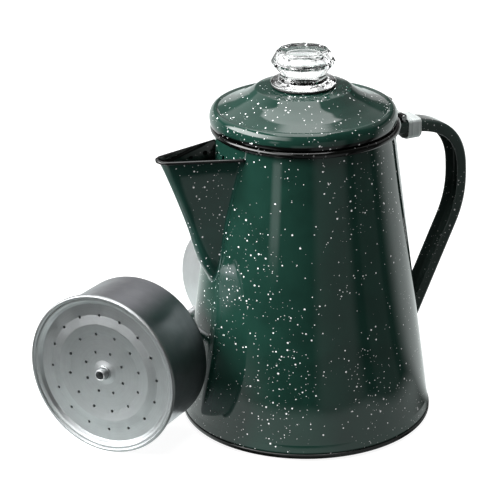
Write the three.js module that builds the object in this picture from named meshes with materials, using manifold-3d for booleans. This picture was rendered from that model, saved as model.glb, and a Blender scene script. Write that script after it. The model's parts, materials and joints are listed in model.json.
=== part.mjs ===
// An enamelled steel camping percolator with its pump, basket and spreader laid beside it.
// Millimetres, +Z up. The pot stands on z = 0 with its axis on Z, the handle towards +X
// and the spout towards -X.

import * as THREE from "three";
import { mergeVertices } from "three/addons/utils/BufferGeometryUtils.js";
import Module from "manifold-3d";

const wasm = await Module();
wasm.setup();

// ---------------------------------------------------------------- driving dimensions

const GAP = 0.3; // air between pieces that touch on the real object
const STEEL = 0.9; // enamelled sheet
const STAINLESS = 0.7; // hinge band
const ALUMINIUM = 0.8; // pump, basket and spreader sheet
const SMOOTH = 40; // segments round the pot, base and lid
const BASKET_SIDES = 32; // segments round the basket and spreader

const BASE_R = 71.6; // outside of the crimped base
const WALL_R = 71.45; // the wall's outside radius where its slope meets z = 0
const WALL_TAPER = 0.1291; // radius lost per millimetre of height
const WALL_FOOT_Z = 2.7;
const WALL_TOP_Z = 165;
const RIM_R = 50.8; // centre of the rolled rim
const RIM_Z = 172.2;
const RIM_ROLL = 2;

const SPOUT_HALF_ANGLE = THREE.MathUtils.degToRad(18.5);
const SPOUT_TIP = { reach: 90, z: 166.2 };
const SPOUT_ROOT = { reach: 46, z: 165.5 }; // the mouth's edge at the wall
const SPOUT_STATIONS = [
  { z: 84, ridge: 55, nose: 6.5 }, // reach of the ridge and its rounding, going up
  { z: 92, ridge: 60.6, nose: 6.5 },
  { z: 97, ridge: 63.4, nose: 6.8 },
  { z: 103, ridge: 66.2, nose: 6.7 },
  { z: 111, ridge: 69, nose: 5.8 },
  { z: 124, ridge: 72.8, nose: 4.4 },
  { z: 142, ridge: 79.2, nose: 4.2 },
  { z: 158, ridge: 85.6, nose: 4.4 },
  { z: 163, ridge: 88, nose: 5.5 }, // the lip flares from here up
  { z: 170, ridge: 92.4, nose: 9.5 },
];

const STRAINER_R = 1.5;
const STRAINER_PITCH = 10.5; // degrees between neighbours in a row
const STRAINER_ROWS = [
  { z: 161, count: 3 },
  { z: 154, count: 2 },
  { z: 147, count: 3 },
  { z: 140, count: 2 },
  { z: 133, count: 1 },
];

const HANDLE_W = 14;
const HANDLE_DEPTH = 6.8;
const HANDLE_TOP_Z = 166.3;
const HANDLE_BEND_R = 1.6;

const PIN_X = 59.3;
const PIN_Z = 168.8;
const PIN_R = 0.95;
const KNUCKLE_R = 1.65; // middle of the rolled sheet round the pin
const KNUCKLE_SHEET = 0.8;
const TONGUE_W = 12;
const BAND_X = 61.9; // front edge of the band round the handle
const BAND_LENGTH = 8.2;
const BAND_TAB_W = 4;

const LID_X = -1.3; // the loose hinge lets the lid rest a little towards the spout
const LID_R = 52;
const LID_EDGE_Z = 175;
const CREASE_R = 26.4;
const SEAT_Z = 195.2; // top of the lid under the knob
const LID_HOLE_R = 11.4;
const SKIRT_R = 46.6;
const SKIRT_FOOT_Z = 170;

const KNOB_FLANGE_R = 18.2;
const KNOB_FLANGE_Z = 196.8;
const KNOB_NECK_R = 12.8;
const KNOB_STEM_R = 10.8;
const KNOB_LUG_R = 13.2;
const KNOB_CROWN_R = 17.6;
const KNOB_TOP_Z = 215.6;
const KNOB_FACETS = 12;

const TUBE_R = 3.175;
const TUBE_BORE_R = 2.4;
const TUBE_TOP_Z = 164.2; // heights in the pump's own frame, foot at zero
const FOOT_R = 41.4;
const FOOT_ROLL = 1.2;
const STOP_Z = 116.4;
const BASKET_FLOOR_Z = 119.9;
const BASKET_R = 43.8;
const BASKET_RIM_R = 45;
const BASKET_RIM_Z = 160.2;
const SPREADER_Z = 159.4;
const SPREADER_R = 46.4;
const SPREADER_RIM_Z = 162.3;
const HOLE_R = 0.85;
const HOLE_RINGS = [
  { r: 33.9, count: 16, phase: 0.07 },
  { r: 22.8, count: 12, phase: -0.32 },
  { r: 12.5, count: 8, phase: 0.46 },
];

const PUMP_X = 4.8; // centre of the foot's edge as the pump lies on the table
const PUMP_Y = 95.7;
const PUMP_HEADING = THREE.MathUtils.degToRad(215.5); // the way the tube's open end points

// ---------------------------------------------------------------- colours

const green = { color: 0x1c4236, roughness: 0.2, metalness: 0 };
const black = { color: 0x101211, roughness: 0.25, metalness: 0 };
const stainless = { color: 0xb9bdbd, roughness: 0.35, metalness: 1 };
const clear = { color: 0xeef2f2, roughness: 0.05, metalness: 0 };
const satin = { color: 0xaab0b0, roughness: 0.45, metalness: 1 };
const shiny = { color: 0x8b8e92, roughness: 0.3, metalness: 1 };
const silicone = { color: 0x171717, roughness: 0.6, metalness: 0 };

// ---------------------------------------------------------------- outlines

const point = (x, y) => new THREE.Vector2(x, y);

/** Points on a circular arc, in degrees, both ends included. */
function arc(cx, cy, r, from, to, steps) {
  return Array.from({ length: steps + 1 }, (_, i) => {
    const a = THREE.MathUtils.degToRad(from + ((to - from) * i) / steps);
    return point(cx + r * Math.cos(a), cy + r * Math.sin(a));
  });
}

/** The closed outline of a bent sheet, from the line along its middle. */
function sheet(line, thickness) {
  const side = (sign) =>
    line.map((p, i) => {
      const before = line[Math.max(i - 1, 0)];
      const after = line[Math.min(i + 1, line.length - 1)];
      const into = (i > 0 ? p.clone().sub(before) : after.clone().sub(p)).normalize();
      const out = (i < line.length - 1 ? after.clone().sub(p) : into.clone()).normalize();
      const normal = point(-into.y - out.y, into.x + out.x).normalize();
      const stretch = 1 / Math.max(0.5, normal.dot(point(-into.y, into.x)));
      return p.clone().addScaledVector(normal, (sign * stretch * thickness) / 2);
    });
  return [...side(1), ...side(-1).reverse()];
}

const closed = (outline) => [...outline, outline[0].clone()];

// ---------------------------------------------------------------- solids

/** Position-only geometry with shared vertices, no empty faces, and its faces pointing out. */
function tidy(geometry) {
  const bare = new THREE.BufferGeometry();
  bare.setAttribute("position", geometry.getAttribute("position"));
  if (geometry.index) bare.setIndex(geometry.index);
  const merged = mergeVertices(bare, 1e-4);
  const at = merged.getAttribute("position");
  const corner = (i) => new THREE.Vector3().fromBufferAttribute(at, i);
  const faces = [];
  let volume = 0;
  for (let i = 0; i < merged.index.count; i += 3) {
    const [a, b, c] = [0, 1, 2].map((k) => merged.index.getX(i + k));
    if (a === b || b === c || c === a) continue;
    faces.push([a, b, c]);
    volume += corner(a).dot(corner(b).cross(corner(c)));
  }
  if (volume < 0) faces.forEach((face) => face.reverse());
  merged.setIndex(faces.flat());
  return merged;
}

/** Turns an outline of (radius, height) round Z. */
function lathe(outline, segments) {
  return tidy(new THREE.LatheGeometry(outline, segments).rotateX(Math.PI / 2));
}

/** Extrudes an outline of (x, z) along Y, centred on the XZ plane. */
function alongY(outline, width) {
  const shape = new THREE.Shape(outline);
  const geometry = new THREE.ExtrudeGeometry(shape, { depth: width, bevelEnabled: false });
  return tidy(geometry.translate(0, 0, -width / 2).rotateX(Math.PI / 2));
}

/** Extrudes an outline of (y, z) along X, from the given start. */
function alongX(outline, start, length) {
  const shape = new THREE.Shape(outline);
  const geometry = new THREE.ExtrudeGeometry(shape, { depth: length, bevelEnabled: false });
  return tidy(geometry.rotateX(Math.PI / 2).rotateZ(Math.PI / 2).translate(start, 0, 0));
}

/** Skins a row of matching outlines, one at each height, and caps both ends. */
function loft(outlines, heights) {
  const clockwise = THREE.ShapeUtils.isClockWise(outlines[0]);
  const rings = outlines.map((outline) => (clockwise ? [...outline].reverse() : outline));
  const count = rings[0].length;
  const last = (rings.length - 1) * count;
  const faces = [];
  for (let start = 0; start < last; start += count) {
    for (let i = 0; i < count; i += 1) {
      const a = start + i;
      const b = start + ((i + 1) % count);
      faces.push(a, b, b + count, a, b + count, a + count);
    }
  }
  for (const [a, b, c] of THREE.ShapeUtils.triangulateShape(rings[0], [])) {
    faces.push(c, b, a, last + a, last + b, last + c);
  }
  const places = rings.flatMap((ring, k) => ring.flatMap((p) => [p.x, p.y, heights[k]]));
  const geometry = new THREE.BufferGeometry();
  geometry.setAttribute("position", new THREE.Float32BufferAttribute(places, 3));
  geometry.setIndex(faces);
  return tidy(geometry);
}

function cylinder(r, length, segments = 12) {
  return tidy(new THREE.CylinderGeometry(r, r, length, segments).rotateX(Math.PI / 2));
}

function box(low, high) {
  const size = high.map((v, i) => v - low[i]);
  const middle = high.map((v, i) => (v + low[i]) / 2);
  return tidy(new THREE.BoxGeometry(...size).translate(...middle));
}

function solid(geometry) {
  return new wasm.Manifold(
    new wasm.Mesh({
      numProp: 3,
      vertProperties: new Float32Array(geometry.getAttribute("position").array),
      triVerts: new Uint32Array(geometry.index.array),
    }),
  );
}

function geometryOf(manifold) {
  const mesh = manifold.getMesh();
  const geometry = new THREE.BufferGeometry();
  geometry.setAttribute("position", new THREE.BufferAttribute(mesh.vertProperties, 3));
  geometry.setIndex(new THREE.BufferAttribute(mesh.triVerts, 1));
  return geometry;
}

function cut(geometry, ...tools) {
  return geometryOf(tools.reduce((left, tool) => left.subtract(solid(tool)), solid(geometry)));
}

function join(geometry, ...others) {
  return geometryOf(others.reduce((left, other) => left.add(solid(other)), solid(geometry)));
}

const wallRadius = (z) => WALL_R - WALL_TAPER * z;

/** The space the pot's wall takes, with a gap round it. */
function potSpace() {
  const segments = 2 * SMOOTH;
  const top = RIM_Z - RIM_ROLL - GAP;
  const swell = (r) => (r + GAP) / Math.cos(Math.PI / segments);
  return lathe(
    [
      point(0, -5),
      point(swell(wallRadius(-5)), -5),
      point(swell(wallRadius(WALL_TOP_Z)), WALL_TOP_Z),
      point(swell(RIM_R - 1), top),
      point(0, top),
    ],
    segments,
  );
}

/** Small upright cutters at each place of the hole rings. */
function holeCutters(z, sides) {
  return HOLE_RINGS.flatMap(({ r, count, phase }) =>
    Array.from({ length: count }, (_, i) => {
      const a = phase + (2 * Math.PI * i) / count;
      return cylinder(HOLE_R, 8, sides).translate(r * Math.cos(a), r * Math.sin(a), z);
    }),
  );
}

// ---------------------------------------------------------------- pot

function potBody() {
  const middle = STEEL / 2;
  const line = [
    point(wallRadius(4) - 0.35 - middle, WALL_FOOT_Z),
    point(wallRadius(6) - middle, 6),
    point(wallRadius(WALL_TOP_Z) - middle, WALL_TOP_Z),
    point(RIM_R - RIM_ROLL + 0.5, RIM_Z - 3.2),
    ...arc(RIM_R, RIM_Z, RIM_ROLL - middle, 200, -80, 6),
  ];
  const holes = STRAINER_ROWS.flatMap(({ z, count }) =>
    Array.from({ length: count }, (_, i) => {
      const a = THREE.MathUtils.degToRad(180 + (i - (count - 1) / 2) * STRAINER_PITCH);
      const r = wallRadius(z);
      return cylinder(STRAINER_R, 8, 8)
        .rotateY(Math.PI / 2)
        .rotateZ(a)
        .translate(r * Math.cos(a), r * Math.sin(a), z);
    }),
  );
  return cut(lathe(closed(sheet(line, STEEL)), SMOOTH), ...holes);
}

function basePan() {
  const lipIn = wallRadius(4) - 0.35 + GAP;
  const seam = WALL_FOOT_Z - GAP;
  const outline = [
    point(0, 0),
    point(66.6, 0),
    point(68.4, 0.5),
    ...arc(BASE_R - 1.5, 2.9, 1.5, -80, 0, 4),
    point(BASE_R, 3.8),
    ...arc((BASE_R + lipIn) / 2, 3.9, (BASE_R - lipIn) / 2, 30, 180, 4),
    point(lipIn, seam),
    point(69.2, seam),
    point(67.6, 1.4),
    point(66.2, STEEL),
    point(0, STEEL),
  ];
  return lathe(outline, SMOOTH);
}

/** The folded sheet of the spout at one height, wide enough to run into the wall. */
function spoutSection({ ridge, nose }) {
  const r = nose - STEEL / 2;
  const half = 90 - THREE.MathUtils.radToDeg(SPOUT_HALF_ANGLE);
  const run = 50;
  const rise = run * Math.tan(SPOUT_HALF_ANGLE);
  const bend = arc(nose - ridge, 0, r, 180 - half, 180 + half, 6);
  const start = bend[0].clone().add(point(run, rise));
  const end = bend.at(-1).clone().add(point(run, -rise));
  return sheet([start, ...bend, end], STEEL);
}

function spout() {
  const heights = SPOUT_STATIONS.map(({ z }) => z);
  const folded = loft(SPOUT_STATIONS.map(spoutSection), heights);
  const slope = Math.atan2(SPOUT_TIP.z - SPOUT_ROOT.z, SPOUT_TIP.reach - SPOUT_ROOT.reach);
  const above = box([-90, -60, 0], [60, 60, 40])
    .rotateY(slope)
    .translate(-SPOUT_ROOT.reach, 0, SPOUT_ROOT.z);
  return cut(folded, above, potSpace());
}

function handle() {
  const at = (x, z) => new THREE.Vector3(x, 0, z);
  const path = new THREE.CurvePath();
  path.add(new THREE.LineCurve3(at(44, HANDLE_TOP_Z), at(62, HANDLE_TOP_Z)));
  const shoulder = [at(62, HANDLE_TOP_Z), at(85.5, HANDLE_TOP_Z), at(101.6, 156.6), at(102.2, 132.5)];
  const grip = [at(102.2, 132.5), at(103, 118.5), at(100.9, 108.4), at(95.4, 96.8)];
  path.add(new THREE.CubicBezierCurve3(...shoulder));
  path.add(new THREE.CubicBezierCurve3(...grip));
  path.add(new THREE.LineCurve3(at(95.4, 96.8), at(62.4, 26)));
  const inset = STEEL / 2;
  const side = HANDLE_W / 2 - inset;
  const line = [
    point(HANDLE_DEPTH, -side),
    ...arc(inset + HANDLE_BEND_R, -side + HANDLE_BEND_R, HANDLE_BEND_R, 270, 180, 3),
    ...arc(inset + HANDLE_BEND_R, side - HANDLE_BEND_R, HANDLE_BEND_R, 180, 90, 3),
    point(HANDLE_DEPTH, side),
  ];
  const shape = new THREE.Shape(sheet(line, STEEL));
  const geometry = new THREE.ExtrudeGeometry(shape, { steps: 28, extrudePath: path });
  return cut(tidy(geometry), potSpace());
}

// ---------------------------------------------------------------- lid hinge

/** The band round the handle's top, closed by a bulge below it, with a tab rolled round the pin. */
function hingeBand() {
  const side = HANDLE_W / 2 + GAP + STAINLESS / 2;
  const top = HANDLE_TOP_Z + 0.45 + STAINLESS / 2;
  const foot = HANDLE_TOP_Z - HANDLE_DEPTH - 1.2;
  const corner = 1.4;
  const right = [
    point(0, top),
    ...arc(side - corner, top - corner, corner, 90, 0, 3),
    point(side, foot),
    ...arc(side - 3, foot, 3, -20, -70, 2),
    point(0, foot - 3.6),
  ];
  const left = right.map((p) => point(-p.x, p.y)).reverse();
  const loop = [...right, ...left.slice(1, -1)];
  const grown = (offset) =>
    loop.map((p, i) => {
      const before = loop.at(i - 1);
      const after = loop[(i + 1) % loop.length];
      const along = after.clone().sub(before).normalize();
      return p.clone().addScaledVector(point(-along.y, along.x), offset);
    });
  const outer = alongX(grown(STAINLESS / 2), BAND_X, BAND_LENGTH);
  const inner = alongX(grown(-STAINLESS / 2), BAND_X - 1, BAND_LENGTH + 2);
  const tab = sheet(
    [
      point(BAND_X + 2, PIN_Z - KNUCKLE_R),
      ...arc(PIN_X, PIN_Z, KNUCKLE_R, 270, -10, 12),
    ],
    STAINLESS,
  );
  return join(cut(outer, inner), alongY(tab, BAND_TAB_W));
}

function hingePin() {
  const shank = cylinder(PIN_R, TONGUE_W + 1, 16);
  const heads = [-1, 1].map((s) => cylinder(1.6, 0.7, 16).translate(0, 0, s * (TONGUE_W / 2 + 0.65)));
  return join(shank, ...heads).rotateX(Math.PI / 2).translate(PIN_X, 0, PIN_Z);
}

/** The lid's tongue, rolled round the pin on both sides of the band's tab. */
function lidTongue() {
  const line = [
    point(LID_X + LID_R + 0.8, 181),
    point(LID_X + LID_R + 0.8, 176.2),
    point(52.9, 175),
    point(54, 173.2),
    point(54.2, 172.2),
    ...arc(PIN_X, PIN_Z, KNUCKLE_R, 118, -170, 12),
  ];
  const strip = alongY(sheet(line, KNUCKLE_SHEET), TONGUE_W);
  const notch = BAND_TAB_W / 2 + GAP;
  return cut(strip, box([PIN_X - 2.9, -notch, PIN_Z - 4], [PIN_X + 4, notch, PIN_Z + 4]));
}

// ---------------------------------------------------------------- lid and knob

/** The middle line of the lid's sheet, from the knob hole out to the lower edge. */
function lidLine() {
  const m = STEEL / 2;
  return [
    point(LID_HOLE_R, SEAT_Z - m),
    point(20, SEAT_Z - m),
    point(CREASE_R, SEAT_Z - 0.9 - m),
    point(32, SEAT_Z - 5.3 - m),
    point(39, SEAT_Z - 9 - m),
    point(46.6, SEAT_Z - 11.7 - m),
    ...arc(LID_R - 3.2, 180.2, 3.2 - m, 90, 0, 3),
    point(LID_R - 0.2 - m, LID_EDGE_Z),
  ];
}

function lidShell() {
  const notches = [0, 180].map((turn) =>
    box([8, -3.4, SEAT_Z - 3], [KNOB_LUG_R + 0.5, 3.4, SEAT_Z + 2]).rotateZ(
      THREE.MathUtils.degToRad(turn),
    ),
  );
  return cut(lathe(closed(sheet(lidLine(), STEEL)), SMOOTH), ...notches);
}

/** The ring under the lid that drops inside the pot's mouth. */
function lidSkirt() {
  const m = STEEL / 2;
  const line = [
    point(41, SEAT_Z - 9.9 - STEEL - GAP - m),
    point(SKIRT_R - m, SEAT_Z - 12.1 - STEEL - GAP - m),
    point(SKIRT_R - m, SKIRT_FOOT_Z),
  ];
  return lathe(closed(sheet(line, STEEL)), SMOOTH);
}

function knobGasket() {
  const low = SEAT_Z + GAP;
  const high = KNOB_FLANGE_Z - GAP;
  const outline = [point(11.6, low), point(17.4, low), point(17.4, high), point(11.6, high)];
  return lathe(closed(outline), 32);
}

/** A hollow glass button: round foot and stem, faceted crown, two lugs that lock below the lid. */
function glassKnob() {
  const stem = lathe(
    [
      point(0, 189.6),
      point(KNOB_STEM_R, 189.6),
      point(KNOB_STEM_R, KNOB_FLANGE_Z),
      point(KNOB_FLANGE_R - 0.5, KNOB_FLANGE_Z),
      point(KNOB_FLANGE_R, KNOB_FLANGE_Z + 0.8),
      point(KNOB_FLANGE_R - 0.8, KNOB_FLANGE_Z + 2.2),
      point(KNOB_NECK_R + 1.4, KNOB_FLANGE_Z + 3),
      point(KNOB_NECK_R, KNOB_FLANGE_Z + 4.6),
      point(KNOB_NECK_R, 205),
      point(0, 205),
    ],
    24,
  );
  const crown = lathe(
    [
      point(0, 202.6),
      point(KNOB_NECK_R, 202.6),
      point(KNOB_CROWN_R, 208.2),
      point(KNOB_CROWN_R, 209.4),
      point(14.6, KNOB_TOP_Z - 0.4),
      point(13.8, KNOB_TOP_Z),
      point(12.4, KNOB_TOP_Z - 0.2),
      point(9, KNOB_TOP_Z - 1.4),
      point(0, KNOB_TOP_Z - 1.8),
    ],
    KNOB_FACETS,
  );
  const lugs = [90, 270].map((turn) =>
    box([8, -3, 190.6], [KNOB_LUG_R, 3, SEAT_Z - STEEL - GAP]).rotateZ(
      THREE.MathUtils.degToRad(turn),
    ),
  );
  const hollow = lathe(
    [
      point(0, 188),
      point(8.2, 188),
      point(8.6, 199),
      point(9.4, 204),
      point(11.6, 209),
      point(9.4, 211.6),
      point(0, 211.8),
    ],
    16,
  );
  return cut(join(stem, crown, ...lugs), hollow);
}

// ---------------------------------------------------------------- pump, basket, spreader

function pumpTube() {
  const low = 11;
  const outline = [
    point(TUBE_BORE_R, low),
    point(TUBE_R, low),
    point(TUBE_R, TUBE_TOP_Z - 0.3),
    point(TUBE_R - 0.3, TUBE_TOP_Z),
    point(TUBE_BORE_R, TUBE_TOP_Z),
  ];
  return lathe(closed(outline), 20);
}

/** The wide foot that traps the boiling water and feeds it up the tube. */
function pumpFoot() {
  const m = ALUMINIUM / 2;
  const line = [
    point(TUBE_R + GAP + m, 22),
    point(TUBE_R + GAP + m, 15),
    point(8, 12),
    point(22, 7.6),
    point(36, 3.2),
    ...arc(FOOT_R - FOOT_ROLL, FOOT_ROLL, FOOT_ROLL - m, 100, -100, 4),
  ];
  const inlets = [0, 90, 180, 270].map((turn) =>
    cylinder(1.6, 12, 8)
      .translate(33, 0, 4)
      .rotateZ(THREE.MathUtils.degToRad(turn + 45)),
  );
  return cut(lathe(closed(sheet(line, ALUMINIUM)), BASKET_SIDES), ...inlets);
}

function basketStop() {
  const outline = [
    point(TUBE_R + GAP, STOP_Z),
    point(5.2, STOP_Z),
    point(5.2, STOP_Z + 1.6),
    point(TUBE_R + GAP, STOP_Z + 1.6),
  ];
  return lathe(closed(outline), 20);
}

/** The short tube up the middle of the basket, with a foot that rests on the stop. */
function basketSleeve() {
  const m = 0.3;
  const r = TUBE_R + GAP + m;
  const line = [
    point(7, STOP_Z + 1.6 + GAP + m),
    point(r, STOP_Z + 1.6 + GAP + m),
    point(r, SPREADER_Z - 3.4),
  ];
  return lathe(closed(sheet(line, 2 * m)), 20);
}

function basketCup() {
  const m = ALUMINIUM / 2;
  const line = [
    point(TUBE_R + 2 * GAP + 0.6, BASKET_FLOOR_Z),
    point(BASKET_R - 3.4, BASKET_FLOOR_Z),
    ...arc(BASKET_R - 3 - m, BASKET_FLOOR_Z + 3, 3, -70, -10, 2),
    point(BASKET_R + 0.3 - m, BASKET_RIM_Z - 3),
    ...arc(BASKET_RIM_R, BASKET_RIM_Z, 1 - m, 180, -90, 4),
  ];
  return cut(
    lathe(closed(sheet(line, ALUMINIUM)), BASKET_SIDES),
    ...holeCutters(BASKET_FLOOR_Z, 4),
  );
}

function spreaderPlate() {
  const m = ALUMINIUM / 2;
  const z = SPREADER_Z - m;
  const line = [
    point(TUBE_R + GAP + m, z + 0.9),
    point(TUBE_R + GAP + m, z - 0.3),
    point(7, z - 0.5),
    point(23, z),
    point(28.6, z + 0.9),
    point(33.9, z),
    point(41, z),
    point(42.6, SPREADER_RIM_Z),
    point(45.6, SPREADER_RIM_Z),
    point(SPREADER_R - m, SPREADER_RIM_Z - 0.7),
  ];
  return cut(
    lathe(closed(sheet(line, ALUMINIUM)), BASKET_SIDES),
    ...holeCutters(SPREADER_Z - 1, 6),
  );
}

// ---------------------------------------------------------------- the assembly

function piece(name, geometry, look) {
  const mesh = new THREE.Mesh(geometry, new THREE.MeshStandardMaterial(look));
  mesh.name = name;
  return mesh;
}

/** Lays the pump down so that its foot and the spreader's rim both touch the table. */
function pumpPlace(group) {
  const rimZ = SPREADER_RIM_Z - 0.7;
  const tilt = Math.asin((SPREADER_R - FOOT_R) / (rimZ - FOOT_ROLL));
  const along = new THREE.Vector3(
    Math.cos(tilt) * Math.cos(PUMP_HEADING),
    Math.cos(tilt) * Math.sin(PUMP_HEADING),
    Math.sin(tilt),
  );
  group.rotation.set(0, Math.PI / 2 - tilt, PUMP_HEADING, "ZYX");
  group.position
    .set(PUMP_X, PUMP_Y, FOOT_R * Math.cos(tilt))
    .addScaledVector(along, -FOOT_ROLL);
}

const pot = new THREE.Group();
pot.add(
  piece("pot_body", potBody(), green),
  piece("base_pan", basePan(), black),
  piece("spout", spout(), green),
  piece("handle", handle(), green),
  piece("hinge_band", hingeBand(), stainless),
  piece("hinge_pin", hingePin(), stainless),
);

const lid = new THREE.Group();
lid.add(
  piece("lid_shell", lidShell().translate(LID_X, 0, 0), green),
  piece("lid_skirt", lidSkirt().translate(LID_X, 0, 0), black),
  piece("lid_tongue", lidTongue(), black),
  piece("knob_gasket", knobGasket().translate(LID_X, 0, 0), silicone),
  piece("glass_knob", glassKnob().translate(LID_X, 0, 0), clear),
);

const pump = new THREE.Group();
pump.add(
  piece("pump_tube", pumpTube(), satin),
  piece("pump_foot", pumpFoot(), satin),
  piece("basket_stop", basketStop(), satin),
  piece("basket_sleeve", basketSleeve(), satin),
  piece("basket_cup", basketCup(), shiny),
  piece("spreader_plate", spreaderPlate(), satin),
);
pumpPlace(pump);

const percolator = new THREE.Group();
percolator.add(pot, lid, pump);

export default percolator;
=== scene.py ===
import json
import math

import bmesh
import bpy
from mathutils import Matrix, Vector


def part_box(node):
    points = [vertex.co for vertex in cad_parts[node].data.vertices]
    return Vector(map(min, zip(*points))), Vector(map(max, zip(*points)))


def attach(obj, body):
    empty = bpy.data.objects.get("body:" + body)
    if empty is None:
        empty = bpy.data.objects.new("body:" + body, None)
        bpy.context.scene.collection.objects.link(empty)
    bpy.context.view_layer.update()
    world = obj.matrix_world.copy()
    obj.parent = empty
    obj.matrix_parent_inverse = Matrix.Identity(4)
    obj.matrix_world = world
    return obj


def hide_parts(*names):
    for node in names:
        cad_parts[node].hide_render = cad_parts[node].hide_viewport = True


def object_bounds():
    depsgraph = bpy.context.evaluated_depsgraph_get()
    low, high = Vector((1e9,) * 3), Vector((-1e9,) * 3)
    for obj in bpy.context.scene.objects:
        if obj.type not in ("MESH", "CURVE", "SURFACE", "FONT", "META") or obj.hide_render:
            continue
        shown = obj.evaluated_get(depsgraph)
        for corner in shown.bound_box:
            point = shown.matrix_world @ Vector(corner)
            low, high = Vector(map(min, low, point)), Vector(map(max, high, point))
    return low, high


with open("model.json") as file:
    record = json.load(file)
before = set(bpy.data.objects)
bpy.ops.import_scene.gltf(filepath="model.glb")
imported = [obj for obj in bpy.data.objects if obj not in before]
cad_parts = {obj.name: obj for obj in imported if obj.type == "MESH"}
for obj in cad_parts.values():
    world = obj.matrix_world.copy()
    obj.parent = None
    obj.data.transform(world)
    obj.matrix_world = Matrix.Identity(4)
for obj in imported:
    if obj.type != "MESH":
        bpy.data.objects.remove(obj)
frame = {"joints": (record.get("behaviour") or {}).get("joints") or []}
CAD_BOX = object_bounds()

# Shapes are written in millimetres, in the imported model's frame, and scaled once.
MM = 0.001


def node_box(name):
    """A CAD node's corners in millimetres."""
    low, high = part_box(name)
    return low / MM, high / MM


def joint(name):
    return next(j for j in frame["joints"] if j["name"] == name)


# ---------------------------------------------------------------- sizes

STEEL = 0.9  # enamelled sheet
ALUMINIUM = 0.8
BASE_R = node_box("base_pan")[1].x
WALL_R = 71.45  # the wall's radius where its slope meets z = 0
WALL_TAPER = 0.1291
WALL_TOP_Z = 165
RIM_R = 50.8
RIM_Z = 172.2
RIM_ROLL = 2
STRAINER_R = 1.5
STRAINER_PITCH = math.radians(10.5)
STRAINER_ROWS = [(161, 3), (154, 2), (147, 3), (140, 2), (133, 1)]  # height, number of holes

LID_X = (node_box("lid_shell")[0].x + node_box("lid_shell")[1].x) / 2
LID_R = node_box("lid_shell")[1].x - LID_X
LID_EDGE_Z = node_box("lid_shell")[0].z
SEAT_Z = node_box("lid_shell")[1].z
LID_HOLE_R = 11.4
CREASE_R = 26.4
SKIRT_R = node_box("lid_skirt")[1].x - LID_X
SKIRT_FOOT_Z = node_box("lid_skirt")[0].z

KNOB_FLANGE_R = node_box("glass_knob")[1].x - LID_X
KNOB_TOP_Z = node_box("glass_knob")[1].z
KNOB_FOOT_Z = node_box("glass_knob")[0].z
KNOB_FLANGE_Z = 196.8
KNOB_NECK_R = 12.8
KNOB_CROWN_R = 17.6
KNOB_CROWN_Z = 203
KNOB_ROUND_R = 11.9  # the crown is round inside this
KNOB_LUG_Z = 190.6
KNOB_FACETS = 12

HANDLE_W = 14
HANDLE_DEPTH = 6.8
HANDLE_TOP_Z = 166.3
PIN = (node_box("hinge_pin")[0] + node_box("hinge_pin")[1]) / 2
PIN_R = 0.95
KNUCKLE_R = 1.65  # middle of the rolled sheet round the pin
TONGUE_W = 12
BAND_X = 61.9  # front edge of the band round the handle
BAND_LENGTH = 8.2
BAND_TAB_W = 4
BAND_SHEET = 0.7

TUBE_R = 3.175
TUBE_BORE_R = 2.4
TUBE_FOOT = 11
TUBE_TOP = 164.2  # heights along the pump, from the foot's lower edge
FOOT_R = 41.4
BASKET_FLOOR = 119.9
BASKET_R = 43.8
BASKET_RIM_R = 45
BASKET_RIM = 160.2
SPREADER = 159.4
SPREADER_R = 46.4
HOLE_RINGS = [(33.9, 16, 0.07), (22.8, 12, -0.32), (12.5, 8, 0.46)]  # radius, number, first angle

CAMERA_AZIMUTH = -26
CAMERA_ELEVATION = 22.15
CAMERA_ROLL = -0.7225
CAMERA_TARGET = (-28.34, 13.88, 97.85)
CAMERA_DISTANCE = 1152.7
CAMERA_LENS = 146.4
AMBIENT = 0.3  # light from all round, on unlit surfaces


# ---------------------------------------------------------------- outlines


def arc(cx, cy, r, start, end, steps):
    """Points on a circular arc, in degrees, both ends included."""
    angles = [math.radians(start + (end - start) * i / steps) for i in range(steps + 1)]
    return [(cx + r * math.cos(a), cy + r * math.sin(a)) for a in angles]


def rounded(points, steps=6):
    """A line with its corners rounded. A point is (x, y) or (x, y, radius)."""
    line = [points[0][:2]]
    for before, here, after in zip(points, points[1:], points[2:]):
        if len(here) == 2:
            line.append(here)
            continue
        corner = Vector(here[:2])
        to_before = Vector(before[:2]) - corner
        to_after = Vector(after[:2]) - corner
        bend = math.pi - to_before.angle(to_after)
        reach = here[2] * math.tan(bend / 2)
        reach = min(reach, 0.48 * to_before.length, 0.48 * to_after.length)
        start = corner + to_before.normalized() * reach
        end = corner + to_after.normalized() * reach
        for i in range(steps + 1):
            t = i / steps
            line.append(tuple(start * (1 - t) ** 2 + corner * 2 * t * (1 - t) + end * t * t))
    line.append(points[-1][:2])
    return line


def sheet(line, thickness, ends=4):
    """The closed outline of a bent sheet with round edges, from the line along its middle."""
    points = [Vector(p) for p in line]
    half = thickness / 2
    left = []
    right = []
    for i, p in enumerate(points):
        into = (p - points[i - 1]).normalized() if i else (points[1] - p).normalized()
        out = (points[i + 1] - p).normalized() if i < len(points) - 1 else into
        normal = Vector((-into.y - out.y, into.x + out.x)).normalized()
        stretch = 1 / max(0.5, normal.dot(Vector((-into.y, into.x))))
        left.append(p + normal * half * stretch)
        right.append(p - normal * half * stretch)
    finish = math.degrees(math.atan2(*(left[-1] - points[-1]).yx))
    begin = math.degrees(math.atan2(*(right[0] - points[0]).yx))
    cap_end = arc(*points[-1], half, finish, finish - 180, ends)[1:-1]
    cap_start = arc(*points[0], half, begin, begin - 180, ends)[1:-1]
    return [tuple(p) for p in left] + cap_end + [tuple(p) for p in reversed(right)] + cap_start


# ---------------------------------------------------------------- meshes


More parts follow.
